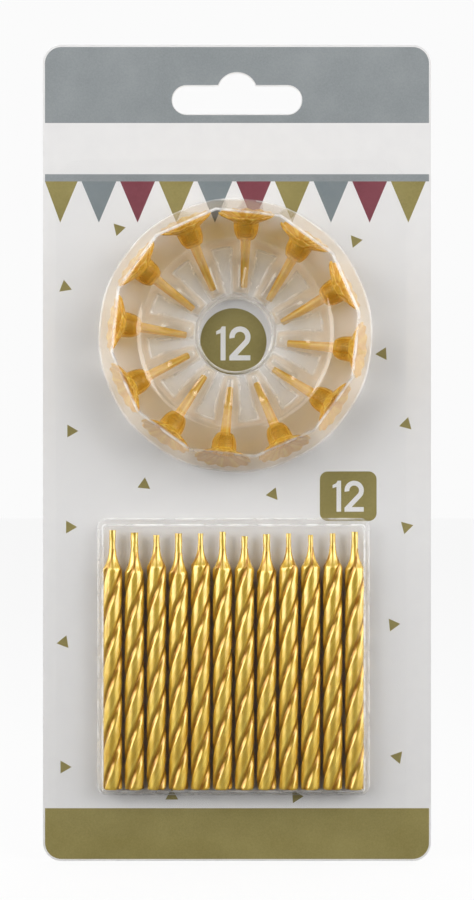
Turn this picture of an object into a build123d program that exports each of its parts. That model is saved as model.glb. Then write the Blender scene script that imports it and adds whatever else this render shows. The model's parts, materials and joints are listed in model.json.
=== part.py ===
from build123d import *
import os
from math import cos, radians, sin, tan

# Carded pack of spiral birthday candles with drip tray holders, in millimetres.
# The pack hangs upright: +Z is up, +X is to the viewer's right and the card's front faces -Y.
# The origin is the top of the hang slot, on the card's back face.

# Backing card and its hang slot
card_width = 97.0
card_height = 204.0
card_thickness = 0.5
card_corner_radius = 4.6
slot_margin = 7.0  # from the card's top edge to the top of the hang slot
slot_length = 32.2
slot_height = 7.0
bump_radius = 4.9  # rounded rise in the middle of the slot, where a display peg sits
bump_rise = 3.25

# Spiral candles, numbered from the left
candle_radius = 2.45
lobe_count = 3
lobe_radius = 1.95
twist_lead = 31.0  # height of one whole turn
candle_pitch = 5.48
body_lengths = [54.4, 53.6, 54.9, 53.4, 55.2, 54.4, 54.4, 53.7, 54.7, 54.9, 55.0, 54.4]
overall_lengths = [64.4, 63.8, 63.2, 63.6, 63.6, 64.0, 62.9, 63.4, 63.6, 63.2, 63.6, 64.0]
groove_heights = [6.6, 4.1, 8.4, 5.2, 10.0, 6.5, 2.8, 7.6, 0.5, 4.1, 10.1, 4.5]
shoulder_length = 5.4  # from the end of the full body to the bare wick
shoulder_lip = 0.3  # the shoulder's curve runs out this far past the lobes
wick_radius = 0.8
neck_wall = 0.15  # wax left round the wick at the top of the shoulder
wick_recess = 0.4  # the wick stops this far above the candle's foot

# Drip tray holders, clockwise from the top of the ring as seen from the front
tray_radius = 7.0
tray_depth = 2.4
tray_wall = 0.7
flare_bow = 0.45  # how far the tray's flare bows in from a straight cone
petal_count = 12
petal_notch_radius = 0.9
petal_notch_depth = 0.45
cup_depth = 4.3
cup_wall = 0.65
cup_floor = 0.8
cup_foot_radius = 2.1
cup_taper = 0.25
cup_knee_height = 1.6  # where the cup's wall starts to turn in, above its foot
cup_bow = 0.35
socket_clearance = 0.1  # radial, between a candle and the cup it is pushed into
spike_length = 12.2
spike_root_radius = 1.3
spike_tip_radius = 0.83
holder_tilts = [-4.0, -6.0, -6.0, 0.0, -4.0, 1.0, 0.0, -3.0, -4.0, 3.0, 2.0, 1.0]

# Clear blister: flange, ring bubble for the holders and pocket for the candles
sheet_thickness = 0.3
flange_width = 87.5
flange_height = 169.25
flange_corner_radius = 6.4
flange_shift = -1.5
flange_drop = 21.75
ring_shift = -0.4
ring_drop = 65.6
ring_radius = 34.2
ring_turn = 6.0  # first cell, clockwise from straight up
face_draft = 16.5
corner_draft = 10.5
ring_headroom = 0.9
well_radius = 9.2
well_draft = 14.0
channel_height = 7.0
step_inner_radius = 18.0
step_outer_radius = 23.5
valley_floor = 3.6
valley_inner_radius = 8.0
valley_outer_radius = 21.5
valley_inner_width = 0.8
valley_outer_width = 3.6
valley_draft = 8.0
pocket_shift = -0.86
pocket_foot_drop = 180.3
pocket_draft = 12.0
pocket_corner_radius = 0.6  # inside the pocket, at its front face
pocket_headroom = 0.6
end_play = 1.7  # spare room above the longest wick

# Clearances of the loose pieces
seat_gap = 0.3
side_gap = 0.3
tray_gap = 0.5  # between a tray and the ring's wall at the outer end of its slide
holder_sag = 0.7  # how far the holders settle sideways, below the middles of their cells
holder_play = 0.6  # how far a holder can slide in and out along its cell

# Values that follow from those above
candle_count = len(overall_lengths)
holder_count = len(holder_tilts)
cell_angle = 360 / holder_count
lobe_offset = candle_radius - lobe_radius
axis_height = candle_radius + seat_gap
socket_radius = candle_radius + socket_clearance
cup_mouth_radius = socket_radius + cup_wall
holder_pitch = face_draft
tray_height = tray_radius * cos(radians(holder_pitch)) + seat_gap
ring_depth = tray_height + tray_radius * cos(radians(holder_pitch)) + ring_headroom + sheet_thickness
pocket_depth = 2 * candle_radius + seat_gap + pocket_headroom + sheet_thickness

# Sheet frame: X to the right, Y up the card, Z out of the card's front face
upright = Plane(origin=(0, -card_thickness, 0), x_dir=(1, 0, 0), z_dir=(0, -1, 0)).location


def slope(angle):
    return tan(radians(angle))


def along(angle):
    return cos(radians(angle))


def backing_card():
    outline = Pos(0, slot_margin - card_height / 2) * RectangleRounded(
        card_width, card_height, card_corner_radius
    )
    slot_middle = -bump_rise - slot_height / 2
    slot = Pos(0, slot_middle) * SlotOverall(slot_length, slot_height)
    bump = Pos(0, -bump_radius) * Circle(bump_radius)
    return extrude(outline - slot - bump, amount=-card_thickness)


# Candles

def twisted_body(length, groove_height):
    """Prism of round lobes, turned so that a groove faces the front at groove_height."""
    turn = 360 / lobe_count
    first_lobe = -90 - 360 * groove_height / twist_lead + turn / 2
    section = Sketch()
    for index in range(lobe_count):
        angle = radians(first_lobe + index * turn)
        section += Pos(lobe_offset * cos(angle), lobe_offset * sin(angle)) * Circle(lobe_radius)
    return Solid.extrude_linear_with_rotation(
        section.face(), (0, 0, 0), (0, 0, length), 360 * length / twist_lead
    )


def candle_wax(body_length, groove_height):
    """Twisted body that draws in to the wick over a hollow shoulder."""
    top = body_length + shoulder_length
    neck_radius = wick_radius + neck_wall
    lip_radius = candle_radius + shoulder_lip
    lip = (lip_radius, body_length)
    neck = (neck_radius, top)
    outline = Polyline(neck, (0, top), (0, 0), (lip_radius, 0), lip) + TangentArc(neck, lip, tangent=(0, -1))
    envelope = revolve(Plane.XZ * make_face(outline), Axis.Z)
    bore = Pos(0, 0, wick_recess) * extrude(Circle(wick_radius), amount=top)
    return twisted_body(top, groove_height) & envelope - bore


def candle_wick(overall_length):
    return Pos(0, 0, wick_recess) * extrude(Circle(wick_radius), amount=overall_length - wick_recess)


def candle_place(index):
    across = pocket_shift + (index - (candle_count - 1) / 2) * candle_pitch
    foot = -pocket_foot_drop + pocket_foot_room()
    return Pos(across, -card_thickness - axis_height, foot)


# Holders

def bowed(start, end, bow):
    """Arc from start to end whose middle stands off the straight line, to the right of the way it runs."""
    run = Vector(*end) - Vector(*start)
    middle = (Vector(*start) + Vector(*end)) / 2 + Vector(run.Y, -run.X).normalized() * bow
    return ThreePointArc(start, middle, end)


def drip_holder():
    """Tray, cup and spike about the Z axis, with the tray's rim at Z = 0 and the spike pointing down."""
    cup_top = -tray_depth
    cup_bottom = cup_top - cup_depth
    socket_bottom = cup_bottom + cup_floor
    rim_edge = (tray_radius, -tray_wall / 2)
    cup_mouth = (cup_mouth_radius, cup_top)
    cup_knee = (cup_mouth_radius - cup_taper, cup_bottom + cup_knee_height)
    cup_foot = (cup_foot_radius, cup_bottom)
    tip = cup_bottom - spike_length
    socket_mouth = (socket_radius, cup_top + tray_wall)
    rim_inside = (tray_radius - tray_wall, 0)
    outline = (
        bowed(rim_edge, cup_mouth, flare_bow)
        + Line(cup_mouth, cup_knee)
        + bowed(cup_knee, cup_foot, -cup_bow)
        + Polyline(
            cup_foot,
            (spike_root_radius, cup_bottom),
            (spike_tip_radius, tip),
            (0, tip),
            (0, socket_bottom),
            (socket_radius, socket_bottom),
            socket_mouth,
        )
        + bowed(socket_mouth, rim_inside, -flare_bow)
        + Polyline(rim_inside, (tray_radius, 0), rim_edge)
    )
    solid = revolve(Plane.XZ * make_face(outline), Axis.Z)
    notch = Pos(0, 0, -tray_depth) * extrude(Circle(petal_notch_radius), amount=2 * tray_depth)
    for place in PolarLocations(tray_radius + petal_notch_radius - petal_notch_depth, petal_count):
        solid -= place * notch
    return solid


def holder_place(index):
    """Place of a holder in the sheet frame: its tray faces the ring's wall and its spike points inward.

    Gravity settles the upper holders inward along their cells, the lower ones outward, and all of them
    sideways.
    """
    clock = radians(ring_turn + index * cell_angle)
    tilt = radians(holder_tilts[index])
    pitch = radians(holder_pitch)
    swing = clock + tilt
    stand_off = tray_gap + sheet_thickness + tray_radius * sin(abs(tilt)) + tray_height * sin(pitch)
    reach = ring_radius - stand_off / cos(pitch)
    if cos(clock) > 0:
        reach -= holder_play
    foot = (tray_depth + cup_depth) * cos(pitch)
    across = holder_sag * sin(clock)
    rim = (
        ring_shift + (reach - foot) * sin(clock) + foot * sin(swing) + across * cos(clock),
        -ring_drop + (reach - foot) * cos(clock) + foot * cos(swing) - across * sin(clock),
        tray_height,
    )
    axis = (sin(swing) * cos(pitch), cos(swing) * cos(pitch), sin(pitch))
    return Plane(origin=rim, x_dir=(cos(swing), -sin(swing), 0), z_dir=axis).location


# Blister

def ring_crater(inset):
    """Space in front of the ring's middle: the well, the ledge over the spikes and the sloped step."""
    floor = sheet_thickness - 2 * inset
    ledge = channel_height - inset
    top = ring_depth + sheet_thickness
    step_draft = (step_outer_radius - step_inner_radius) / (ring_depth - channel_height)

    def well(height):
        return well_radius + (height - sheet_thickness) * slope(well_draft) + inset / along(well_draft)

    def step(height):
        return step_inner_radius + (height - channel_height) * step_draft + inset * (1 + step_draft**2) ** 0.5

    outline = Polyline(
        (0, floor),
        (well(floor), floor),
        (well(ledge), ledge),
        (step(ledge), ledge),
        (step(top), top),
        (0, top),
        close=True,
    )
    return revolve(Plane.XZ * make_face(outline), Axis.Z)


def ring_valley(inset):
    """Groove between two neighbouring cells, running outward along +Y."""
    floor = valley_floor - inset
    top = ring_depth + sheet_thickness
    spread = (top - floor) * slope(valley_draft)
    widen = inset / along(valley_draft)
    sections = []
    for radius, width in (
        (valley_inner_radius, valley_inner_width),
        (valley_outer_radius + inset, valley_outer_width),
    ):
        half = width / 2 + widen
        outline = Polyline(
            (-half, floor), (half, floor), (half + spread, top), (-half - spread, top), close=True
        )
        sections.append(Plane(origin=(0, radius, 0), x_dir=(1, 0, 0), z_dir=(0, -1, 0)) * make_face(outline))
    return loft(sections, ruled=True)


def ring_form(inset):
    """Ring bubble about the Z axis: round at the card, many-sided at the top, hollow in the middle."""
    base = -2 * inset
    top = ring_depth - inset

    def size(height, draft):
        return ring_radius - inset / along(draft) - height * slope(draft)

    height = top - base
    cone = Pos(0, 0, base + height / 2) * Cone(size(base, corner_draft), size(top, corner_draft), height)
    faces = []
    for level in (base, top):
        apothem = size(level, face_draft)
        corner = apothem / along(cell_angle / 2)
        sides = RegularPolygon(corner, holder_count, rotation=90 + cell_angle / 2)
        faces.append(Pos(0, 0, level) * sides)
    form = cone & loft(faces, ruled=True)
    form -= ring_crater(inset)
    valley = ring_valley(inset)
    for index in range(holder_count):
        form -= Rot(0, 0, (index + 0.5) * cell_angle) * valley
    return form


def pocket_foot_room():
    """Height of the candles' feet above the pocket's foot at the card."""
    return sheet_thickness / along(pocket_draft) + (axis_height + candle_radius) * slope(pocket_draft) + seat_gap


def pocket_length():
    head_room = sheet_thickness / along(pocket_draft) + (axis_height + wick_radius) * slope(pocket_draft)
    return pocket_foot_room() + max(overall_lengths) + end_play + head_room


def pocket_width():
    wall = (candle_radius + side_gap + sheet_thickness) / along(pocket_draft)
    return (candle_count - 1) * candle_pitch + 2 * (wall + axis_height * slope(pocket_draft))


def pocket_form(inset):
    """Candle pocket with drafted walls, standing on the card."""
    base = -2 * inset
    height = pocket_depth - inset - base
    shrink = inset / along(pocket_draft) + base * slope(pocket_draft)
    corner = pocket_corner_radius + sheet_thickness - inset + height * slope(pocket_draft)
    outline = RectangleRounded(pocket_width() - 2 * shrink, pocket_length() - 2 * shrink, corner)
    return Pos(0, 0, base) * extrude(outline, amount=height, taper=pocket_draft)


def blister():
    ring_place = Pos(ring_shift, -ring_drop) * Rot(0, 0, -ring_turn)
    pocket_place = Pos(pocket_shift, pocket_length() / 2 - pocket_foot_drop)
    flange = Pos(flange_shift, -flange_drop - flange_height / 2) * extrude(
        RectangleRounded(flange_width, flange_height, flange_corner_radius), amount=sheet_thickness
    )
    sheet = flange + ring_place * ring_form(0) + pocket_place * pocket_form(0)
    sheet -= ring_place * ring_form(sheet_thickness)
    sheet -= pocket_place * pocket_form(sheet_thickness)
    return sheet


def save(name, shape):
    export_step(shape.solid(), os.path.join("parts", name + ".step"))


os.makedirs("parts", exist_ok=True)
save("backing_card", upright * backing_card())
save("blister", upright * blister())

for index in range(candle_count):
    number = f"{index + 1:02d}"
    place = candle_place(index)
    save(f"candle_{number}_wax", place * candle_wax(body_lengths[index], groove_heights[index]))
    save(f"candle_{number}_wick", place * candle_wick(overall_lengths[index]))

holder = drip_holder()
for index in range(holder_count):
    save(f"holder_{index + 1:02d}", upright * holder_place(index) * holder)
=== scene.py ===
import json
import math

import bmesh
import bpy
from mathutils import Matrix, Vector, noise

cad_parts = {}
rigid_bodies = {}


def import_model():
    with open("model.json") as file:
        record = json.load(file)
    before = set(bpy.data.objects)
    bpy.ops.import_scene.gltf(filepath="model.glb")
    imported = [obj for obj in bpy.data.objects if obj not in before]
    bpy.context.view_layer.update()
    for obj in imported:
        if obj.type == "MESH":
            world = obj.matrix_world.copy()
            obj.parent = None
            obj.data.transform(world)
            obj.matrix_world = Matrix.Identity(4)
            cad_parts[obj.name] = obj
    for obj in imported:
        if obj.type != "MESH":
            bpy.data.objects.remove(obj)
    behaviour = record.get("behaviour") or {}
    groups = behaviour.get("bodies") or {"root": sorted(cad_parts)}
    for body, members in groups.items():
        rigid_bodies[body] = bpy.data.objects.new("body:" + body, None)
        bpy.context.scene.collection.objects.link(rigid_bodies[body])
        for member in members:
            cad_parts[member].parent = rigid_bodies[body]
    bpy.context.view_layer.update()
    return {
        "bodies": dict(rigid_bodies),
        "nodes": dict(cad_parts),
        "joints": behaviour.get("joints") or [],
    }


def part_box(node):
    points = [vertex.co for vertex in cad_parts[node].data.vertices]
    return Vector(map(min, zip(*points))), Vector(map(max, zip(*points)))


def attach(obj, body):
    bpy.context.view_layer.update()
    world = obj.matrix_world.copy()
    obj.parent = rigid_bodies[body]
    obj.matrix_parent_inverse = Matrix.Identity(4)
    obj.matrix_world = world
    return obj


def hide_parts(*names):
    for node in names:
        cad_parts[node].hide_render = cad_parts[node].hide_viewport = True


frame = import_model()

# Looks of a carded pack of spiral birthday candles: printed card, clear blister, gold candles and
# amber holders. Sizes are in millimetres and angles in degrees, unless a comment says otherwise. Places are
# in the card's own frame: across to the right, up from the top of the hang slot, and out from the card's
# front face.

MM = 0.001
crease_angle = 50

# Places read from the frame, the first three in metres
card_low, card_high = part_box("backing_card")
card_front = card_low.y
card_half_width = card_high.x / MM
card_top = card_high.z / MM
card_foot = card_low.z / MM
candle_count = sum(name.startswith("candle") for name in frame["bodies"])
holder_count = sum(name.startswith("holder") for name in frame["bodies"])

# Card and print
card_corner_radius = 4.6
slot_length = 32.2
slot_height = 7.0
bump_radius = 4.9
bump_rise = 3.25
ink_thickness = 0.02
edge_margin = 0.5  # bare board left round the print
slot_margin = 0.25  # bare board left round the hang slot
header_foot = -12.5
strip_top = -25.3
strip_foot = -27.1
pennant_count = 10
pennant_pitch = 9.67
pennant_width = 8.7
pennant_drop = 10.3
first_pennant = -44.2
foot_band_top = -183.8
confetti_radius = 1.85
# Middle across, middle up and turn of each printed confetti triangle
confetti = [
    (-29.6, -39.0, 13), (-43.0, -53.5, 99), (29.6, -42.0, 9), (36.4, -70.2, 63),
    (-41.5, -89.5, 0), (42.3, -87.8, 75), (-23.2, -102.9, 84), (9.0, -105.3, 68),
    (-41.8, -113.5, 0), (42.3, -113.5, 15), (39.0, -137.9, 6), (-43.3, -142.3, 69),
    (40.1, -171.0, 50), (-43.2, -173.5, 0), (-16.3, -180.7, 90), (14.8, -180.9, 3),
]
disc_middle = (-0.9, -67.1)
disc_radius = 8.3
disc_points = 72
disc_numeral_height = 8.5
disc_numeral_drop = 0.5
badge_middle = (27.8, -105.8)
badge_size = (14.2, 12.4)
badge_corner_radius = 2.0
badge_numeral_height = 7.75

# Candles
candle_radius = 2.45
groove_count = 3
land_radius = 2.28  # of the rounded land between two grooves
groove_depth = 0.36
groove_half_width = 0.74
groove_rim = 0.04  # faint raised line on both sides of a groove
groove_rim_reach = 1.1
groove_rim_half_width = 0.25
twist_lead = 31.0
twist_wander = 4.0  # the twist strays by up to this angle
shoulder_length = 5.4
shoulder_lip = 0.3
shoulder_softness = 0.09
foot_wear = 0.12  # rounding of the foot's edge
foot_wear_height = 0.22
dent_depth = 0.03
fine_dent_depth = 0.01
# For each candle, the height where a groove faces the front, and the width of its wick
groove_heights = [6.6, 4.1, 8.4, 5.2, 10.0, 6.5, 2.8, 7.6, 0.5, 4.1, 10.1, 4.5]
wick_widths = [1.65, 2.0, 1.65, 1.85, 1.35, 1.65, 1.65, 1.85, 1.3, 1.3, 1.5, 1.75]
wick_coat = 0.06  # wax left over the wick at the top of the shoulder
wick_fill = 0.95  # mean share of the wick's width
wick_strands = 3
strand_relief = 0.035
strand_turn = 1.1  # radians for one millimetre
thread_roughness = 0.06
groove_columns = 30  # columns of the mesh from one groove to the next
groove_crowding = 1.6  # how much the columns gather at a groove
candle_row_height = 0.4
shoulder_rows = 22
wick_columns = 24
wick_rows = 150

# Holders, with heights from the tray's rim. A cap is the fan that closes a mesh within its last ring
holder_pitch = 16.5
tray_radius = 7.0
tray_depth = 2.4
tray_wall = 0.7
tray_bend_inside = (4.4, -1.0)
tray_bend_outside = (4.7, -1.55)
rim_inside = -0.05
rim_outside = -0.12
rim_under = -0.42
rim_undercut = 0.1
cup_depth = 4.3
cup_mouth_radius = 3.2
cup_knee_radius = 2.95
cup_knee_height = 1.6
cup_foot_radius = 2.1
cup_floor = 0.8
socket_radius = 2.55
socket_cap_radius = 0.3
spike_length = 12.2
spike_root_radius = 1.3
spike_root_drop = 0.1
spike_tip_radius = 0.83
spike_cap_radius = 0.2
petal_count = 12
petal_notch = 0.4
petal_wave = 0.16
rib_count = 36
rib_depth = 0.09
holder_columns = 216

# Blister
sheet_thickness = 0.3
sheet_lift = 0.04  # the flange's back face stands this far off the card, above the ink
flange_width = 87.5
flange_height = 169.25
flange_corner_radius = 6.4
flange_shift = -1.5
flange_drop = 21.75
foot_lip = 0.8  # flat border of each form where it joins the flange
foot_setback = 0.5  # rounding starts this far from a corner
ring_shift = -0.4
ring_drop = 65.6
ring_radius = 34.2
ring_turn = 6.0
ring_depth = 14.92
ring_top_setback = 1.1
face_draft = 16.5
corner_draft = 10.5
corner_softness = 0.25
step_inner_radius = 18.0
step_outer_radius = 23.5
step_setback = 1.6
channel_height = 7.0
well_radius = 9.2
well_draft = 14.0
well_top_setback = 1.1
well_foot_setback = 0.6
well_cap_radius = 2.0
valley_floor = 3.6
valley_inner_radius = 8.0
valley_outer_radius = 21.5
valley_inner_width = 0.8
valley_outer_width = 3.6
valley_flare = 1.3  # extra width at the outer end
valley_flare_length = 4.0
valley_blend = 1.2
arch_fullness = 0.7  # power that fills out the arch over a cell
ring_columns = 432
pocket_shift = -0.86
pocket_foot_drop = 180.3
pocket_width = 67.69
pocket_length = 68.87
pocket_depth = 6.1
pocket_draft = 12.0
pocket_rim_setback = 0.7
pocket_corner_radius = 2.2
pocket_least_radius = 0.4
pocket_border = 4.0  # rim of the mesh, before its even rows
pocket_cap_half_width = 1.0
pocket_rows = 14
sheet_wave = 0.1
sheet_wave_rise = 3.0  # height over which it sets in

# Zones of the clear sheet. A pair says where a look starts and where it is full: heights above the card,
# distances from the ring's middle, or tilts from 0 along the card to 1 square to it
formed_heights = (0.4, 0.9)
foot_fold_start = (0.31, 0.4)
foot_fold_end = (1.1, 0.6)
top_fold_heights = (ring_depth - 1.5, ring_depth - 0.6)
top_fold_reach = (25.5, 27)
rim_fold_heights = (pocket_depth - 1.1, pocket_depth - 0.5)
fold_tilt_start = (0.03, 0.2)
fold_tilt_end = (0.85, 0.55)
valley_fold_start = (valley_floor + 0.02, valley_floor + 0.15)
valley_fold_end = (valley_floor + 1.1, valley_floor + 0.4)
valley_fold_reach = (30, 28)
window_start = (valley_floor - 0.5, valley_floor - 0.35)
window_end = (valley_floor + 0.2, valley_floor + 0.05)
window_reach = (24, 22)
window_tilt = (0.1, 0.03)
cells_heights = (valley_floor + 0.2, valley_floor + 2)
cells_reach = (30.5, 28.5)
ring_reach = (36, 35)
step_reach = (16, 18)  # the painted amber light on the flanks halves over this span
flank_tilt = (0.12, 0.5)
wall_reach = (28.5, 30.5)
wall_tilt = (0.45, 0.7)
pocket_top = 1 + pocket_length - pocket_foot_drop
# Share of milk in the sheet, which is painted light: painted highlight lines on the folds and valley floors,
# painted reflections on the walls and painted amber light on the flanks
fold_painted_highlight = 0.6
flank_painted_amber_light = 0.18
ring_wall_painted_reflection = 0.18
pocket_wall_painted_reflection = 0.1
window_painted_highlight = 0.2

# Camera and light, in metres
camera_distance = 0.6
view_height = 0.225
view_middle = -0.09425
sensor_height = 36  # millimetres
floor_reach = 3.0
room_white = 0.965  # brightness of the room behind the pack
room_dark = 0.05  # and in front of it
# Ending of the lamp's name, place from the pack's middle, width and height, brightness
panels = [
    ("_panel", (0.72, -0.34, 0.0), (0.95, 1.1), 3.5),
    ("_upper_panel", (0.35, -0.55, 0.44), (0.38, 0.55), 1.75),
]


# General shapes

def place(across, up, out):
    """Point of the card's own frame, in metres."""
    return Vector((across * MM, card_front - out * MM, up * MM))


def soft_step(value):
    """Smooth rise from 0 to 1."""
    value = min(max(value, 0.0), 1.0)
    return value * value * (3 - 2 * value)


def soft_min(values, softness):
    """Least of some values, with the change from one to the next rounded off."""
    least = min(values)
    return least - softness * math.log(sum(math.exp((least - value) / softness) for value in values))


def slope(angle):
    return math.tan(math.radians(angle))


def mix(start, end, share):
    return start + (end - start) * share


def arc(middle, radius, start, end, steps):
    """Points on a circle, by angles from the right, counterclockwise."""
    points = []
    for step in range(steps + 1):
        angle = math.radians(mix(start, end, step / steps))
        points.append((middle[0] + radius * math.cos(angle), middle[1] + radius * math.sin(angle)))
    return points


def rounded_rectangle(middle, width, height, radius, corner_steps=10, run_steps=1):
    """Clockwise outline that starts at the top of its left side, with each side cut into run_steps."""
    across = width / 2 - radius
    up = height / 2 - radius
    corners = [(-across, up, 180), (across, up, 90), (across, -up, 0), (-across, -up, -90)]
    turns = []
    for x, y, start in corners:
        turns.append(arc((middle[0] + x, middle[1] + y), radius, start, start - 90, corner_steps))
    points = []
    for turn, after in zip(turns, turns[1:] + turns[:1]):
        points += turn
        for step in range(1, run_steps):
            share = step / run_steps
            points.append(tuple(mix(*ends, share) for ends in zip(turn[-1], after[0])))
    return points


def rounding(start, tip, end, steps):
    """Curve from start to end, drawn towards the tip of the corner between them."""
    points = []
    for step in range(1, steps + 1):
        share = step / steps
        points.append(start.lerp(tip, share).lerp(tip.lerp(end, share), share))
    return points


def rounded_path(corners, arc_steps, run_steps):
    """Points along straight runs between corners, each given as x, y and its setback."""
    tips = [Vector(corner[:2]) for corner in corners]
    points = [tips[0]]
    for index in range(1, len(tips)):
        tip = tips[index]
        setback = corners[index][2]
        run_start = points[-1]
        run_end = tip + (tips[index - 1] - tip).normalized() * setback
        points += [run_start.lerp(run_end, step / run_steps) for step in range(1, run_steps + 1)]
        if index < len(tips) - 1:
            turn_end = tip + (tips[index + 1] - tip).normalized() * setback
            points += rounding(run_end, tip, turn_end, arc_steps)
    return points


# Meshes and pieces

def new_piece(name, mesh, material, body):
    """Object from a bmesh, with its material, riding on a body."""
    data = bpy.data.meshes.new(name)
    mesh.to_mesh(data)
    mesh.free()
    piece = bpy.data.objects.new(name, data)
    bpy.context.scene.collection.objects.link(piece)
    data.materials.append(material)
    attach(piece, body)
    return piece


def shade_soft(data):
    """Smooth shading that breaks at creases."""
    data.shade_smooth()
    data.set_sharp_from_angle(angle=math.radians(crease_angle))


def bridge(mesh, outer, inner):
    """Quads between two loops of as many points."""
    for step in range(len(outer)):
        after = (step + 1) % len(outer)
        mesh.faces.new((outer[step], inner[step], inner[after], outer[after]))


def cap(mesh, loop, middle):
    """Fan of triangles from a loop to its middle."""
    centre = mesh.verts.new(middle)
    for step in range(len(loop)):
        mesh.faces.new((loop[step], centre, loop[(step + 1) % len(loop)]))


def closed_skin(rings):
    """Closed bmesh over a stack of rings, capped at both ends."""
    mesh = bmesh.new()
    loops = [[mesh.verts.new(point) for point in ring] for ring in rings]
    for outer, inner in zip(loops, loops[1:]):
        bridge(mesh, outer, inner)
    for ring, loop in ((rings[0], loops[0]), (rings[-1], loops[-1])):
        cap(mesh, loop, sum(ring, Vector()) / len(ring))
    bmesh.ops.recalc_face_normals(mesh, faces=mesh.faces[:])
    return mesh


def add_run_map(mesh, rows, columns):
    """Map that follows the rings of a closed skin: round the skin, and along it."""
    layer = mesh.loops.layers.uv.new("run")
    mesh.verts.index_update()
    for face in mesh.faces:
        around = [vert.index % columns for vert in face.verts]
        wraps = max(around) - min(around) > columns / 2
        for loop, column in zip(face.loops, around):
            row = loop.vert.index // columns
            if wraps and column < columns / 2:
                column += columns
            loop[layer].uv = (column / columns, row / rows)


def skin_piece(name, rings, material, body):
    """Smooth closed piece over a stack of rings."""
    mesh = closed_skin(rings)
    add_run_map(mesh, len(rings), len(rings[0]))
    piece = new_piece(name, mesh, material, body)
    shade_soft(piece.data)
    return piece


def outline_edges(mesh, loop):
    edges = []
    for step in range(len(loop)):
        pair = (loop[step], loop[(step + 1) % len(loop)])
        edges.append(mesh.edges.get(pair) or mesh.edges.new(pair))
    return edges


# Materials

class Shader:
    """Node tree of one material or world, built node by node."""

    def __init__(self, tree):
        self.tree = tree
        tree.nodes.clear()

    def feed(self, socket, value):
        """Link a node's output to a socket, or set a plain value."""
        if isinstance(value, bpy.types.NodeSocket):
            self.tree.links.new(value, socket)
        else:
            socket.default_value = value

    def add(self, kind, inputs=None, **settings):
        node = self.tree.nodes.new(kind)
        for name, value in settings.items():
            setattr(node, name, value)
        for name, value in (inputs or {}).items():
            self.feed(node.inputs[name], value)
        return node

    def math(self, operation, first, second=0.0):
        return self.add("ShaderNodeMath", {0: first, 1: second}, operation=operation).outputs[0]

    def plus(self, first, second):
        return self.math("ADD", first, second)

    def times(self, first, *others):
        for other in others:
            first = self.math("MULTIPLY", first, other)
        return first

    def most(self, first, *others):
        for other in others:
            first = self.math("MAXIMUM", first, other)
        return first

    def ramp(self, value, low, high, low_out=0.0, high_out=1.0):
        limits = {"Value": value, "From Min": low, "From Max": high, "To Min": low_out, "To Max": high_out}
        return self.add("ShaderNodeMapRange", limits).outputs["Result"]

    def fade(self, value, span, low_out=0.0, high_out=1.0):
        """Ramp of a value in metres over a span in millimetres."""
        return self.ramp(value, span[0] * MM, span[1] * MM, low_out, high_out)

    def vary(self, pattern, low_out=0.0, high_out=1.0, reach=0.2):
        """Ramp over the middle values of a noise, which lie about a half."""
        return self.ramp(pattern, 0.5 - reach, 0.5 + reach, low_out, high_out)

    def blend(self, share, first, second):
        node = self.add("ShaderNodeMix", {"Factor": share}, data_type="RGBA")
        self.feed(node.inputs[6], first)
        self.feed(node.inputs[7], second)
        return node.outputs[2]

    def noise(self, coordinates, scale, detail=3.0, stretch=(1, 1, 1)):
        moved = self.add("ShaderNodeMapping", {"Vector": coordinates, "Scale": stretch}).outputs[0]
        grain = {"Vector": moved, "Scale": scale, "Detail": detail}
        return self.add("ShaderNodeTexNoise", grain).outputs["Fac"]

    def bump(self, height, strength, distance, normal=None):
        inputs = {"Height": height, "Strength": strength, "Distance": distance * MM}
        if normal is not None:
            inputs["Normal"] = normal
        return self.add("ShaderNodeBump", inputs).outputs[0]

    def own_coordinates(self):
        return self.add("ShaderNodeTexCoord").outputs["Object"]

    def run_map(self):
        return self.add("ShaderNodeUVMap", uv_map="run").outputs[0]

    def part(self, vector, axis):
        return self.add("ShaderNodeSeparateXYZ", {0: vector}).outputs[axis]

    def facing(self):
        """How far the surface faces the card's back, from -1 to 1."""
        return self.part(self.add("ShaderNodeNewGeometry").outputs["Normal"], "Y")

    def slant(self):
        """How far the surface turns away from the ray that meets it, from 0 to 1."""
        return self.add("ShaderNodeLayerWeight", {"Blend": 0.5}).outputs["Facing"]

    def seen_straight(self):
        """1 for what the camera sees straight or through something clear, else 0."""
        path = self.add("ShaderNodeLightPath")
        return self.most(path.outputs["Is Camera Ray"], path.outputs["Is Transmission Ray"])

    def surface(self, kind, inputs):
        return self.add(kind, inputs).outputs[0]

    def layer(self, share, first, second):
        return self.add("ShaderNodeMixShader", {0: share, 1: first, 2: second}).outputs[0]

    def finish(self, surface):
        self.add("ShaderNodeOutputMaterial", {"Surface": surface})


def new_shader(name):
    material = bpy.data.materials.new(name)
    material.use_nodes = True
    return material, Shader(material.node_tree)


def colour(red, green, blue):
    """Linear colour from an 8-bit screen colour."""
    def linear(level):
        level /= 255
        return level / 12.92 if level <= 0.04045 else ((level + 0.055) / 1.055) ** 2.4
    return (linear(red), linear(green), linear(blue), 1.0)


def even_grey(level):
    return (level, level, level, 1.0)


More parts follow.
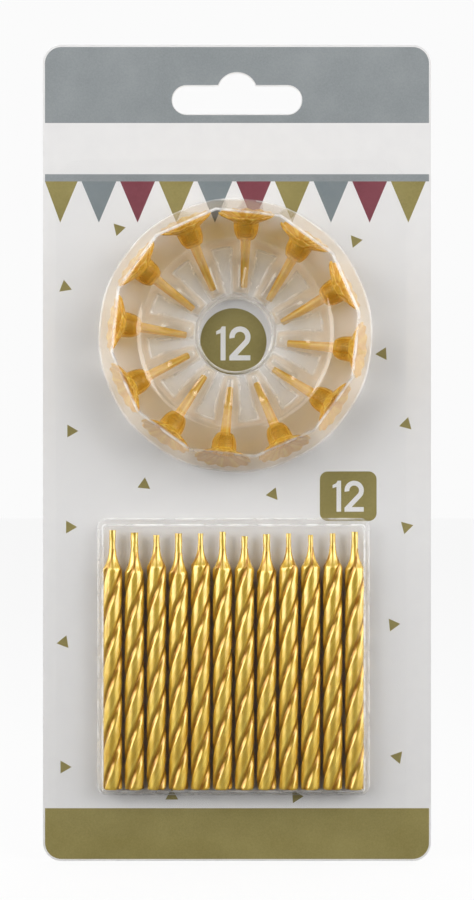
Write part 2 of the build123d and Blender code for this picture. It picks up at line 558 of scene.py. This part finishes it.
def card_material():
    """Coated board: printed pale grey on the front, uncoated on the back, with a bright cut edge."""
    material, shader = new_shader("card_board")
    where = shader.own_coordinates()
    facing = shader.facing()
    is_front = shader.math("LESS_THAN", facing, -0.5)
    is_back = shader.math("GREATER_THAN", facing, 0.5)
    mottle = shader.noise(where, 260)
    fibre = shader.noise(where, 1500, 5.0, (1, 1, 0.35))
    front = shader.blend(mottle, colour(227, 226, 226), colour(233, 232, 231))
    back = shader.blend(shader.vary(fibre), colour(214, 209, 200), colour(232, 229, 222))
    edge = shader.blend(mottle, colour(226, 222, 214), colour(244, 241, 236))
    faces = shader.blend(is_back, shader.blend(is_front, edge, front), back)
    polish = shader.vary(mottle, 0.34, 0.42)
    roughness = shader.add("ShaderNodeMix", {"Factor": is_front, "A": 0.85, "B": polish}).outputs[0]
    normal = shader.bump(fibre, 0.12, 0.03)
    look = {"Base Color": faces, "Roughness": roughness, "Normal": normal}
    shader.finish(shader.surface("ShaderNodeBsdfPrincipled", look))
    return material


def ink_material(name, dark, light):
    """Offset ink under a thin gloss varnish, with a fine uneven lay."""
    material, shader = new_shader(name)
    where = shader.own_coordinates()
    cloud = shader.noise(where, 90, 4.0)
    grain = shader.noise(where, 2600, 2.0)
    lay = shader.plus(shader.times(cloud, 0.6), shader.times(grain, 0.4))
    tone = shader.blend(shader.vary(lay, reach=0.15), dark, light)
    roughness = shader.vary(grain, 0.34, 0.44)
    normal = shader.bump(grain, 0.08, 0.02)
    look = {"Base Color": tone, "Roughness": roughness, "Normal": normal}
    shader.finish(shader.surface("ShaderNodeBsdfPrincipled", look))
    return material


def painted_groove_shade(shader, run, blotch):
    """Share of painted shade in the grooves: most along the middle of a groove, none on the lands, broken up
    by a blotchy noise.
    """
    share = shader.math("FRACT", shader.times(shader.part(run, "X"), groove_count))
    away = shader.math("ABSOLUTE", shader.math("SUBTRACT", share, 0.5))
    return shader.times(shader.ramp(away, 0.27, 0.15), shader.vary(blotch, 0.6, 1.0))


def gold_material(name, streak_scale, smooth, rough, grooved):
    """Gold lacquer over wax: streaks run with the twist, and the grooves carry painted shade, a darker brown
    with less coat.
    """
    material, shader = new_shader(name)
    where = shader.own_coordinates()
    run = shader.run_map()
    streak = shader.noise(run, streak_scale, 4.0, (1, 0.04, 1))
    blotch = shader.noise(where, 420, 3.0)
    grain = shader.noise(where, 5200, 2.0)
    tone = shader.blend(shader.vary(streak), colour(222, 174, 24), colour(252, 220, 92))
    tone = shader.blend(shader.ramp(blotch, 0.55, 0.75, 0.0, 0.35), tone, colour(200, 140, 14))
    coat = 1.0
    if grooved:
        # Painted shade in the grooves: a darker brown colour and almost no coat along the middle of each
        # groove.
        groove_shade = painted_groove_shade(shader, run, blotch)
        tone = shader.blend(groove_shade, tone, colour(158, 102, 6))
        coat = shader.ramp(groove_shade, 0.0, 1.0, 1.0, 0.05)
    roughness = shader.plus(shader.vary(blotch, smooth, rough), shader.vary(grain, -0.03, 0.04))
    normal = shader.bump(streak, 0.25, 0.08)
    normal = shader.bump(grain, 0.12, 0.03, normal)
    normal = shader.bump(blotch, 0.2, 0.1, normal)
    look = {
        "Base Color": tone,
        "Metallic": 0.58,
        "Roughness": roughness,
        "Normal": normal,
        "Coat Weight": coat,
        "Coat Roughness": 0.18,
        "Coat IOR": 2.0,
    }
    shader.finish(shader.surface("ShaderNodeBsdfPrincipled", look))
    return material


def amber_density(shader, run, streak):
    """Share of light that the amber stops: more at a slant, on the tray and on the solid spike."""
    along = shader.part(run, "Y")
    on_tray = shader.times(shader.ramp(along, 0.15, 0.2), shader.ramp(along, 0.66, 0.6))
    on_spike = shader.ramp(along, 0.82, 0.86)
    density = shader.ramp(shader.slant(), 0.0, 0.9, 0.12, 0.55)
    density = shader.plus(density, shader.times(on_tray, 0.26))
    density = shader.plus(density, shader.times(on_spike, 0.28))
    return shader.times(density, shader.vary(streak, 0.75, 1.25, 0.15))


def amber_material():
    """Translucent pearly amber: light comes through tinted, and thick or slanted walls look denser."""
    material, shader = new_shader("amber_pearl")
    swirl = shader.noise(shader.own_coordinates(), 330, 4.0, (1, 1, 0.6))
    run = shader.run_map()
    streak = shader.noise(run, 34, 3.0, (1, 0.05, 1))
    tone = shader.blend(shader.vary(streak, reach=0.15), colour(254, 188, 34), colour(255, 230, 118))
    look = {
        "Base Color": tone,
        "Metallic": 0.05,
        "Roughness": shader.vary(swirl, 0.2, 0.32),
        "Normal": shader.bump(streak, 0.2, 0.1),
        "Coat Weight": 0.4,
        "Coat Roughness": 0.12,
    }
    pearl = shader.surface("ShaderNodeBsdfPrincipled", look)
    tint = shader.surface("ShaderNodeBsdfTransparent", {"Color": colour(255, 240, 180)})
    shader.finish(shader.layer(amber_density(shader, run, streak), tint, pearl))
    return material


# Clear sheet

def ring_distance(shader, where):
    """Distance from the ring's axis, in metres."""
    middle = (ring_shift * MM, 0, -ring_drop * MM)
    offset = shader.add("ShaderNodeVectorMath", {0: where, 1: middle}, operation="SUBTRACT").outputs[0]
    flat = shader.add("ShaderNodeVectorMath", {0: offset, 1: (1, 0, 1)}, operation="MULTIPLY").outputs[0]
    return shader.add("ShaderNodeVectorMath", {0: flat}, operation="LENGTH").outputs["Value"]


class SheetPlaces:
    """Where a point of the clear sheet lies and how the sheet stands there, as shader values."""

    def __init__(self, shader):
        self.where = shader.own_coordinates()
        self.slant = shader.slant()
        self.tilt = shader.math("SUBTRACT", 1.0, shader.math("ABSOLUTE", shader.facing()))
        self.lift = shader.math("SUBTRACT", card_front, shader.part(self.where, "Y"))
        self.spread = ring_distance(shader, self.where)
        self.formed = shader.fade(self.lift, formed_heights)
        self.in_ring = shader.times(self.formed, shader.fade(self.spread, ring_reach))
        self.on_pocket = shader.math("LESS_THAN", shader.part(self.where, "Z"), pocket_top * MM)
        near_cells = shader.fade(self.spread, cells_reach)
        self.over_cells = shader.times(near_cells, shader.fade(self.lift, cells_heights))
        inward = shader.fade(self.spread, step_reach, 1.0, 0.5)
        self.flank = shader.times(self.over_cells, inward, shader.ramp(self.tilt, *flank_tilt))
        outside = shader.most(self.on_pocket, shader.fade(self.spread, wall_reach))
        self.wall = shader.times(outside, self.formed, shader.ramp(self.tilt, *wall_tilt))


def sheet_folds(shader, at):
    """Broken lines where the sheet turns, where painted highlight lines go: at the feet and rims of its
    forms and along the valleys.
    """
    at_foot = shader.times(shader.fade(at.lift, foot_fold_start), shader.fade(at.lift, foot_fold_end))
    at_top = shader.times(shader.fade(at.lift, top_fold_heights), shader.fade(at.spread, top_fold_reach))
    at_rim = shader.times(shader.fade(at.lift, rim_fold_heights), at.on_pocket)
    bent = shader.times(shader.ramp(at.tilt, *fold_tilt_start), shader.ramp(at.tilt, *fold_tilt_end))
    turns = shader.times(shader.most(at_foot, at_top, at_rim), bent)
    at_valley = shader.times(shader.fade(at.lift, valley_fold_start), shader.fade(at.lift, valley_fold_end))
    in_valley = shader.times(at_valley, shader.fade(at.spread, valley_fold_reach))
    broken = shader.ramp(shader.noise(at.where, 260, 2.0), 0.38, 0.6, 0.3, 1.0)
    return shader.times(shader.most(turns, in_valley), broken)


def sheet_windows(shader, at):
    """Level floors of the valleys between the cells, which get a painted highlight."""
    near_floor = shader.times(shader.fade(at.lift, window_start), shader.fade(at.lift, window_end))
    return shader.times(near_floor, shader.fade(at.spread, window_reach), shader.ramp(at.tilt, *window_tilt))


def haze_and_painted_light(shader, at, haze):
    """Diffuse share of the sheet: a thin real haze all over, plus painted light, with painted highlight
    lines on folds and valley floors, painted reflections on walls and painted amber light on the flanks.
    """
    thin = shader.times(shader.ramp(at.slant, 0.3, 1.0, 0.0004, 0.01), shader.ramp(haze, 0, 1, 0.7, 1.3))
    # Painted reflections on the walls of the ring and the pocket.
    wall_painted_share = shader.ramp(at.on_pocket, 0.0, 1.0, ring_wall_painted_reflection, pocket_wall_painted_reflection)
    # Painted light laid over the real haze.
    painted_light_share = shader.most(
        shader.times(sheet_folds(shader, at), fold_painted_highlight),
        shader.times(at.flank, flank_painted_amber_light),
        shader.times(at.wall, wall_painted_share),
        shader.times(sheet_windows(shader, at), window_painted_highlight),
    )
    return shader.plus(thin, painted_light_share)


def haze_and_painted_light_tone(shader, at):
    """Colour of the diffuse share: pale grey, and warm on the ring's walls and the flanks over the cells,
    where it is painted amber light from the holders.
    """
    ring_wall = shader.times(at.wall, shader.math("SUBTRACT", 1.0, at.on_pocket))
    # Painted amber light: warm milk on the ring's walls and on the flanks.
    pale = shader.blend(ring_wall, even_grey(0.95), (1.0, 0.86, 0.66, 1.0))
    return shader.blend(at.flank, pale, (1.0, 0.84, 0.66, 1.0))


def tint_with_painted_warm_shade(shader, at):
    """Colour of what shows through the sheet: near clear, with painted warm shade over the amber holders
    that grows at a slant.
    """
    face = shader.blend(at.over_cells, even_grey(0.999), (0.998, 0.98, 0.945, 1.0))
    # Painted warm shade over the cells, stronger at a slant.
    wall = shader.blend(at.over_cells, even_grey(0.995), (0.99, 0.92, 0.83, 1.0))
    return shader.blend(shader.math("POWER", at.slant, 3.0), face, wall)


def sheet_gloss(shader, at):
    """Mirroring share of the sheet, which grows at a slant and is largest on the ring."""
    edge = shader.plus(shader.ramp(at.formed, 0, 1, 0.03, 0.14), shader.times(at.in_ring, 0.16))
    edge = shader.times(shader.math("POWER", at.slant, 5.0), edge)
    face = shader.plus(shader.ramp(at.formed, 0, 1, 0.006, 0.01), shader.times(at.in_ring, 0.03))
    return shader.plus(edge, face)


def clear_material():
    """Thin clear sheet that shows what is behind it, with gloss at a slant, a faint haze, and painted
    highlights, reflections and amber light as milk on its folds, walls, valley floors and flanks.
    """
    material, shader = new_shader("clear_sheet")
    at = SheetPlaces(shader)
    haze = shader.noise(at.where, 140, 3.0)
    ripple = shader.noise(at.where, 55, 2.0)
    see_through = shader.surface("ShaderNodeBsdfTransparent", {"Color": tint_with_painted_warm_shade(shader, at)})
    matte_haze_and_painted_light = shader.surface("ShaderNodeBsdfDiffuse", {"Color": haze_and_painted_light_tone(shader, at)})
    shine = {
        "Color": even_grey(1.0),
        "Roughness": shader.vary(haze, 0.03, 0.08),
        "Normal": shader.bump(ripple, 0.1, 0.4),
    }
    gloss = shader.surface("ShaderNodeBsdfGlossy", shine)
    sheet = shader.layer(haze_and_painted_light(shader, at, haze), see_through, matte_haze_and_painted_light)
    shader.finish(shader.layer(sheet_gloss(shader, at), sheet, gloss))
    return material


# Printed card

def plate(name, outlines, material):
    """Thin layer of ink on the card's front, filled between nested outlines."""
    mesh = bmesh.new()
    edges = []
    for outline in outlines:
        loop = [mesh.verts.new(place(across, up, ink_thickness)) for across, up in outline]
        edges += outline_edges(mesh, loop)
    bmesh.ops.triangle_fill(mesh, use_beauty=True, edges=edges, normal=(0, -1, 0))
    back = bmesh.ops.extrude_face_region(mesh, geom=mesh.faces[:])["geom"]
    moved = [item for item in back if isinstance(item, bmesh.types.BMVert)]
    bmesh.ops.translate(mesh, verts=moved, vec=(0, ink_thickness * MM, 0))
    bmesh.ops.recalc_face_normals(mesh, faces=mesh.faces[:])
    return new_piece(name, mesh, material, "pack")


def slot_outline(margin):
    """Hang slot with its bump, grown by a margin."""
    half = slot_height / 2
    middle = -bump_rise - half
    end = slot_length / 2 - half
    radius = bump_radius + margin
    meet = math.degrees(math.asin((bump_radius - bump_rise + margin) / radius))
    right = arc((end, middle), half + margin, 90, -90, 16)
    left = arc((-end, middle), half + margin, 270, 90, 16)
    return right + left + arc((0, -bump_radius), radius, 180 - meet, meet, 20)


def band_outline(top, foot, round_top, round_foot):
    """Band across the card between two heights, following the card's rounded corners."""
    half = card_half_width - edge_margin
    radius = card_corner_radius - edge_margin
    side = half - radius
    corner_steps = 12
    upper = [(-half, top), (half, top)]
    lower = [(half, foot), (-half, foot)]
    if round_top:
        upper = arc((-side, top - radius), radius, 180, 90, corner_steps)
        upper += arc((side, top - radius), radius, 90, 0, corner_steps)
    if round_foot:
        lower = arc((side, foot + radius), radius, 0, -90, corner_steps)
        lower += arc((-side, foot + radius), radius, -90, -180, corner_steps)
    return upper + lower


def triangle(middle, radius, turn):
    return arc(middle, radius, turn, turn + 240, 2)


def pennant(index):
    """Hanging triangle of the bunting, kept on the card."""
    tip = first_pennant + index * pennant_pitch
    limit = card_half_width - edge_margin
    left = max(tip - pennant_width / 2, -limit)
    right = min(tip + pennant_width / 2, limit)
    return [(left, strip_foot), (right, strip_foot), (tip, strip_foot - pennant_drop)]


def numeral_one():
    """Plain figure one in a box one unit high."""
    return [(0.128, 0), (0.275, 0), (0.275, 1), (0.165, 1), (0.12, 0.92), (0, 0.86), (0, 0.76), (0.128, 0.8)]


def numeral_two():
    """Plain figure two in a box one unit high."""
    middle = (0.313, 0.687)
    over = arc(middle, 0.313, 188, -40, 20)
    under = arc(middle, 0.157, -40, 188, 16)
    return over + [(0.235, 0.15), (0.62, 0.15), (0.62, 0), (0, 0), (0, 0.13)] + under


def twelve(middle, height):
    """Outlines of a plain twelve about a middle, with widths in shares of its height."""
    width = 1.01
    two_shift = 0.385
    outlines = []
    for shift, figure in ((0, numeral_one()), (two_shift, numeral_two())):
        outline = []
        for x, y in figure:
            outline.append((middle[0] + (x + shift - width / 2) * height, middle[1] + (y - 0.5) * height))
        outlines.append(outline)
    return outlines


def print_bands(grey, olive):
    header = band_outline(card_top - edge_margin, header_foot, True, False)
    plate("print_header", [header, slot_outline(slot_margin)], grey)
    plate("print_strip", [band_outline(strip_top, strip_foot, False, False)], grey)
    plate("print_foot_band", [band_outline(foot_band_top, card_foot + edge_margin, False, True)], olive)


def print_bunting(inks):
    """Pennants in turning colours, one piece for each ink."""
    for offset, (name, ink) in enumerate(inks):
        flags = [pennant(index) for index in range(offset, pennant_count, len(inks))]
        plate("print_bunting_" + name, flags, ink)


def print_counts(ink):
    """Disc and badge with the count of the pieces left bare in them."""
    disc = arc(disc_middle, disc_radius, 0, 360 - 360 / disc_points, disc_points - 1)
    disc_numerals = (disc_middle[0], disc_middle[1] - disc_numeral_drop)
    plate("print_count_disc", [disc] + twelve(disc_numerals, disc_numeral_height), ink)
    badge = rounded_rectangle(badge_middle, *badge_size, badge_corner_radius)
    plate("print_count_badge", [badge] + twelve(badge_middle, badge_numeral_height), ink)


def dress_card():
    board = frame["nodes"]["backing_card"]
    board.data.materials.clear()
    board.data.materials.append(card_material())
    olive = ink_material("ink_olive", colour(136, 125, 72), colour(152, 141, 88))
    grey = ink_material("ink_grey", colour(134, 140, 142), colour(148, 153, 155))
    slate = ink_material("ink_slate", colour(118, 127, 131), colour(130, 138, 141))
    wine = ink_material("ink_wine", colour(118, 58, 68), colour(134, 72, 82))
    print_bands(grey, olive)
    print_bunting([("olive", olive), ("slate", slate), ("wine", wine)])
    scraps = [triangle((across, up), confetti_radius, turn) for across, up, turn in confetti]
    plate("print_confetti", scraps, olive)
    print_counts(olive)


# Candles

def upright(low, high):
    """Foot of an upright box's axis, in metres, and its length."""
    axis = (low + high) / 2
    return Vector((axis.x, axis.y, low.z)), (high.z - low.z) / MM


def ring_point(foot, way, radius, height):
    """Point about an upright axis, in metres."""
    return foot + (way * radius + Vector((0, 0, height))) * MM


def column_angles():
    """Angles in radians round the candle from its first groove, closer together near each groove."""
    sector = 2 * math.pi / groove_count
    angles = []
    for groove in range(groove_count):
        for column in range(groove_columns):
            share = 2 * column / groove_columns - 1
            angles.append(sector * (groove + math.copysign(abs(share) ** groove_crowding, share) / 2))
    return angles


def grooved_radius(angle):
    """Distance from the axis to the skin: rounded lands, soft grooves between them and faint rims."""
    sector = 2 * math.pi / groove_count
    off = (angle + sector / 2) % sector - sector / 2
    away = abs(off) * candle_radius
    from_land = sector / 2 - abs(off)
    land_offset = candle_radius - land_radius
    side = land_offset * math.sin(from_land)
    land = land_offset * math.cos(from_land) + math.sqrt(land_radius**2 - side**2)
    groove = groove_depth * math.exp(-((away / groove_half_width) ** 2))
    rim = groove_rim * math.exp(-(((away - groove_rim_reach) / groove_rim_half_width) ** 2))
    return land - groove + rim


def shoulder_radius(below_top, neck_radius):
    """Hollow shoulder that flares from the neck down to the lip."""
    flare = candle_radius + shoulder_lip - neck_radius
    bend = (flare**2 + shoulder_length**2) / (2 * flare)
    return neck_radius + bend - math.sqrt(bend**2 - below_top**2)


def candle_heights(length):
    """Heights of the rings of a candle, closer together at its foot and along its shoulder."""
    body = length - shoulder_length
    foot = [0.0, 0.08, foot_wear_height]
    rows = round((body - foot[-1]) / candle_row_height)
    straight = [mix(foot[-1], body, row / rows) for row in range(1, rows + 1)]
    return foot + straight + [mix(body, length, row / shoulder_rows) for row in range(1, shoulder_rows + 1)]


def unevenness(way, height, number):
    """Small bulges and dents of a moulded candle, its own for each number."""
    dent = noise.noise(Vector((way.x * 1.3, way.y * 1.3, height * 0.35 + number * 31)))
    fine = noise.noise(Vector((way.x * 5, way.y * 5, height * 1.4 + number * 17)))
    return dent_depth * dent + fine_dent_depth * fine


def twist_at(height, number):
    """Turn of the first groove at a height, in radians, straying a little from an even twist."""
    first_groove = -90 - 360 * groove_heights[number - 1] / twist_lead
    wander = twist_wander * noise.noise(Vector((number * 7.3, height * 0.09, 0)))
    return math.radians(first_groove + 360 * height / twist_lead + wander)


def candle_wax(number, material):
    """Twisted candle with its drawn-in shoulder, a little uneven as it left the mould."""
    name = f"candle_{number:02d}"
    foot, length = upright(*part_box(name + "_wax"))
    neck_radius = wick_widths[number - 1] / 2 + wick_coat
    angles = column_angles()
    rings = []
    for height in candle_heights(length):
        turn = twist_at(height, number)
        worn = foot_wear * (1 - soft_step(height / foot_wear_height))
        below_top = length - height
        ring = []
        for angle in angles:
            radius = grooved_radius(angle) - worn
            if below_top < shoulder_length:
                radius = soft_min([radius, shoulder_radius(below_top, neck_radius)], shoulder_softness)
            way = Vector((math.cos(angle + turn), math.sin(angle + turn), 0))
            radius += unevenness(way, height, number)
            ring.append(ring_point(foot, way, radius, height))
        rings.append(ring)
    piece = skin_piece(name + "_twist", rings, material, name)
    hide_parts(name + "_wax")


def candle_wick(number, material):
    """Gold-dipped thread wick, cut square at the top."""
    name = f"candle_{number:02d}"
    foot, length = upright(*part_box(name + "_wick"))
    half_width = wick_widths[number - 1] / 2
    rings = []
    for row in range(wick_rows + 1):
        height = length * row / wick_rows
        ring = []
        for column in range(wick_columns):
            angle = 2 * math.pi * column / wick_columns
            way = Vector((math.cos(angle), math.sin(angle), 0))
            strand = math.cos(wick_strands * angle - height * strand_turn + number)
            rough = noise.noise(Vector((way.x, way.y, height * 1.2 + number * 13)))
            radius = half_width * (wick_fill + strand_relief * strand + thread_roughness * rough)
            ring.append(ring_point(foot, way, radius, height))
        rings.append(ring)
    piece = skin_piece(name + "_thread", rings, material, name)
    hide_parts(name + "_wick")


# Holders

def holder_profile():
    """Radius and height along a holder's wall, from the socket's floor over the rim to the spike's tip."""
    cup_top = -tray_depth
    cup_bottom = cup_top - cup_depth
    socket_bottom = cup_bottom + cup_floor
    spike_tip = cup_bottom - spike_length
    # Radius, height and setback of each corner
    corners = [
        (socket_cap_radius, socket_bottom, 0),
        (socket_radius, socket_bottom, 0.4),
        (socket_radius, cup_top + tray_wall, 0.25),
        (*tray_bend_inside, 0.9),
        (tray_radius - tray_wall, rim_inside, 0.3),
        (tray_radius, rim_outside, 0.1),
        (tray_radius - rim_undercut, rim_under, 0.1),
        (*tray_bend_outside, 0.9),
        (cup_mouth_radius, cup_top, 0.3),
        (cup_knee_radius, cup_bottom + cup_knee_height, 0.9),
        (cup_foot_radius, cup_bottom, 0.35),
        (spike_root_radius, cup_bottom - spike_root_drop, 0.3),
        (spike_tip_radius, spike_tip, 0.25),
        (spike_cap_radius, spike_tip, 0),
    ]
    return rounded_path(corners, 4, 5)


def holder_frame(name):
    """Place of a holder: its rim's middle and its axis, which points out of the tray."""
    joint = next(joint for joint in frame["joints"] if joint["child"] == name)
    run = Vector(joint["axis"])
    pitch = math.radians(holder_pitch)
    axis = (run * math.cos(pitch) + Vector((0, -1, 0)) * math.sin(pitch)).normalized()
    side = Vector((run.z, 0, -run.x)).normalized()
    third = axis.cross(side)
    points = [vert.co for vert in frame["nodes"][name].data.vertices]

    def middle(way):
        spans = [point.dot(way) for point in points]
        return (max(spans) + min(spans)) / 2

    rim = axis * max(point.dot(axis) for point in points) + side * middle(side) + third * middle(third)
    turned = Matrix((side, third, axis)).transposed().to_4x4()
    return Matrix.Translation(rim) @ turned


def holder(number, material):
    """Drip tray holder: fluted flaring tray, cup and spike."""
    name = f"holder_{number:02d}"
    at = holder_frame(name)
    rings = []
    for radius, height in holder_profile():
        flare = soft_step((radius - cup_mouth_radius) / (tray_radius - cup_mouth_radius))
        ring = []
        for column in range(holder_columns):
            angle = 2 * math.pi * column / holder_columns
            wave = math.cos(petal_count * angle)
            rib = math.cos(rib_count * angle)
            around = radius - petal_notch * flare**2 * (0.5 - 0.5 * wave) ** 2
            lift = flare * (petal_wave * (wave - 1) + rib_depth / 2 * (rib - 1))
            point = Vector((around * math.cos(angle), around * math.sin(angle), height + lift))
            ring.append(at @ (point * MM))
        rings.append(ring)
    piece = skin_piece(name + "_tray", rings, material, name)
    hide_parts(name)


# Blister

def ring_wall(height, bearing):
    """Radius of the ring's outer wall: round at the card, many-sided at the top."""
    cell = 360 / holder_count
    off = (bearing + cell / 2) % cell - cell / 2
    round_wall = ring_radius - height * slope(corner_draft)
    flat_wall = (ring_radius - height * slope(face_draft)) / math.cos(math.radians(off))
    return soft_min([round_wall, flat_wall], corner_softness)


def ring_section(bearing):
    """Radius and height along the ring bubble's skin, from the flange to the middle of the well."""
    well_top = well_radius + (channel_height - sheet_thickness) * slope(well_draft)
    corners = [
        (ring_radius + foot_lip, sheet_thickness, 0),
        (ring_wall(sheet_thickness, bearing), sheet_thickness, foot_setback),
        (ring_wall(ring_depth, bearing), ring_depth, ring_top_setback),
        (step_outer_radius, ring_depth, step_setback),
        (step_inner_radius, channel_height, step_setback),
        (well_top, channel_height, well_top_setback),
        (well_radius, sheet_thickness, well_foot_setback),
        (well_cap_radius, sheet_thickness, 0),
    ]
    return rounded_path(corners, 6, 12)


def valley_share(radius, bearing):
    """Height left over the groove between two cells: none at its floor, all over the middle of a cell."""
    cell = 360 / holder_count
    off = math.radians(bearing % cell - cell / 2)
    along = (radius - valley_inner_radius) / (valley_outer_radius - valley_inner_radius)
    flare = valley_flare * soft_step((radius - valley_outer_radius) / valley_flare_length + 1)
    half = (mix(valley_inner_width, valley_outer_width, min(max(along, 0), 1)) + flare) / 2
    reach = radius * math.sin(math.radians(cell / 2)) - half
    rise = min(max((abs(radius * math.sin(off)) - half) / reach, 0), 1)
    arch = math.sin(math.pi / 2 * rise) ** arch_fullness
    end = soft_step((radius - valley_outer_radius) / valley_blend)
    return max(arch, end)


def wavy(across, up, out):
    """Small inward unevenness of the formed sheet, which fades out at the flange."""
    share = soft_step((out - sheet_thickness) / sheet_wave_rise)
    ripple = noise.noise(Vector((across * 0.16, up * 0.16, 0.7)))
    return out - share * sheet_wave * max(0.6 + ripple, 0)


def ring_loops(mesh):
    """Loops of the ring bubble's skin, from the flange inward."""
    sections = []
    for column in range(ring_columns):
        bearing = 360 * column / ring_columns
        angle = math.radians(bearing + ring_turn)
        section = []
        for radius, height in ring_section(bearing):
            if height > valley_floor:
                height = mix(valley_floor, height, valley_share(radius, bearing))
            across = ring_shift + radius * math.sin(angle)
            up = -ring_drop + radius * math.cos(angle)
            section.append(place(across, up, wavy(across, up, height)))
        sections.append(section)
    return [[mesh.verts.new(point) for point in row] for row in zip(*sections)]


def pocket_section():
    """Distance inward and height along the pocket's skin, from the flange to the middle of its front."""
    lean = pocket_depth * slope(pocket_draft)
    corners = [
        (-foot_lip, sheet_thickness, 0),
        (0, sheet_thickness, foot_setback),
        (lean, pocket_depth, pocket_rim_setback),
        (pocket_border, pocket_depth, 0),
    ]
    steps = [tuple(point) for point in rounded_path(corners, 6, 6)]
    reach = pocket_width / 2 - pocket_cap_half_width
    for row in range(1, pocket_rows + 1):
        steps.append((mix(pocket_border, reach, row / pocket_rows), pocket_depth))
    return steps


def pocket_loops(mesh):
    """Loops of the pocket's skin, from the flange inward."""
    middle = (pocket_shift, pocket_length / 2 - pocket_foot_drop)
    loops = []
    for inward, height in pocket_section():
        radius = max(pocket_corner_radius - inward, pocket_least_radius)
        width = pocket_width - 2 * inward
        length = pocket_length - 2 * inward
        outline = rounded_rectangle(middle, width, length, radius, 8, 30)
        loops.append([mesh.verts.new(place(x, y, wavy(x, y, height))) for x, y in outline])
    return loops


def thicken(piece):
    """Give a skin the thickness of the sheet, on the side of the card."""
    solidify = piece.modifiers.new("sheet", "SOLIDIFY")
    solidify.thickness = (sheet_thickness - sheet_lift) * MM
    solidify.offset = -1
    solidify.use_even_offset = True
    settled = piece.evaluated_get(bpy.context.evaluated_depsgraph_get())
    thick = bpy.data.meshes.new_from_object(settled)
    piece.modifiers.clear()
    piece.data = thick


def blister():
    """Formed sheet: flange, ring bubble and candle pocket as one skin with the sheet's thickness."""
    mesh = bmesh.new()
    middle = (flange_shift, -flange_drop - flange_height / 2)
    flange = rounded_rectangle(middle, flange_width, flange_height, flange_corner_radius)
    border = [mesh.verts.new(place(across, up, sheet_thickness)) for across, up in flange]
    edges = outline_edges(mesh, border)
    for loops in (ring_loops(mesh), pocket_loops(mesh)):
        edges += outline_edges(mesh, loops[0])
        for outer, inner in zip(loops, loops[1:]):
            bridge(mesh, outer, inner)
        cap(mesh, loops[-1], sum((vert.co for vert in loops[-1]), Vector()) / len(loops[-1]))
    bmesh.ops.triangle_fill(mesh, use_beauty=True, edges=edges, normal=(0, -1, 0))
    piece = new_piece("blister_shell", mesh, clear_material(), "pack")
    thicken(piece)
    shade_soft(piece.data)
    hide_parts("blister")


# Studio

def world():
    """White behind the pack, also in reflections, dark in front of it, and plain white for the camera."""
    studio = bpy.data.worlds.new("studio")
    bpy.context.scene.world = studio
    studio.use_nodes = True
    shader = Shader(studio.node_tree)
    depth = shader.ramp(shader.part(shader.add("ShaderNodeTexCoord").outputs["Generated"], "Y"), -0.1, 0.6)
    room = shader.blend(depth, even_grey(room_dark), even_grey(room_white))
    light = shader.surface("ShaderNodeBackground", {"Color": room})
    plain = shader.surface("ShaderNodeBackground", {"Color": even_grey(room_white)})
    surface = shader.layer(shader.seen_straight(), light, plain)
    shader.add("ShaderNodeOutputWorld", {"Surface": surface})


def floor_material():
    """Pale floor that keeps a light shadow; its part in front of the pack throws little light back."""
    material, shader = new_shader("pale_floor")
    where = shader.own_coordinates()
    tone = shader.blend(shader.noise(where, 12), colour(236, 236, 236), colour(244, 244, 244))
    matt = shader.surface("ShaderNodeBsdfDiffuse", {"Color": tone})
    glow = shader.surface("ShaderNodeEmission", {"Color": even_grey(1.0)})
    pale = shader.layer(0.9, matt, glow)
    dim = shader.surface("ShaderNodeBsdfDiffuse", {"Color": even_grey(0.12)})
    behind = shader.math("GREATER_THAN", shader.part(where, "Y"), 0.0)
    share = shader.most(shader.seen_straight(), behind)
    shader.finish(shader.layer(share, dim, pale))
    return material


def floor():
    corners = [(-1, -1), (1, -1), (1, 1), (-1, 1)]
    mesh = bmesh.new()
    mesh.faces.new([mesh.verts.new((x * floor_reach, y * floor_reach, card_low.z)) for x, y in corners])
    data = bpy.data.meshes.new("floor")
    mesh.to_mesh(data)
    mesh.free()
    data.materials.append(floor_material())
    ground = bpy.data.objects.new("floor", data)
    bpy.context.scene.collection.objects.link(ground)


def softbox(name, position, width, height, radiance):
    """Area lamp that faces the middle of the pack, as bright as radiance when seen in a mirror."""
    lamp = bpy.data.lights.new(name, "AREA")
    lamp.shape = "RECTANGLE"
    lamp.size = width
    lamp.size_y = height
    lamp.energy = radiance * math.pi * width * height
    box = bpy.data.objects.new(name, lamp)
    target = Vector((0, 0, view_middle))
    box.location = target + Vector(position)
    box.rotation_euler = (target - box.location).to_track_quat("-Z", "Y").to_euler()
    box.visible_camera = False
    bpy.context.scene.collection.objects.link(box)


def lights():
    for side, way in (("left", -1), ("right", 1)):
        for ending, (across, depth, up), size, radiance in panels:
            softbox(side + ending, (way * across, depth, up), *size, radiance)


def camera():
    lens = bpy.data.cameras.new("camera")
    lens.sensor_fit = "VERTICAL"
    lens.sensor_height = sensor_height
    lens.lens = sensor_height * camera_distance / view_height
    viewer = bpy.data.objects.new("camera", lens)
    viewer.location = (0, card_front - camera_distance, view_middle)
    viewer.rotation_euler = (math.radians(90), 0, 0)
    bpy.context.scene.collection.objects.link(viewer)
    bpy.context.scene.camera = viewer


def main():
    bpy.context.scene.view_settings.view_transform = "Standard"
    world()
    floor()
    lights()
    camera()
    dress_card()
    gold = gold_material("gold_wax", 26, 0.3, 0.42, True)
    dipped = gold_material("gold_wick", 60, 0.34, 0.46, False)
    amber = amber_material()
    for number in range(1, candle_count + 1):
        candle_wax(number, gold)
        candle_wick(number, dipped)
    for number in range(1, holder_count + 1):
        holder(number, amber)
    blister()


main()
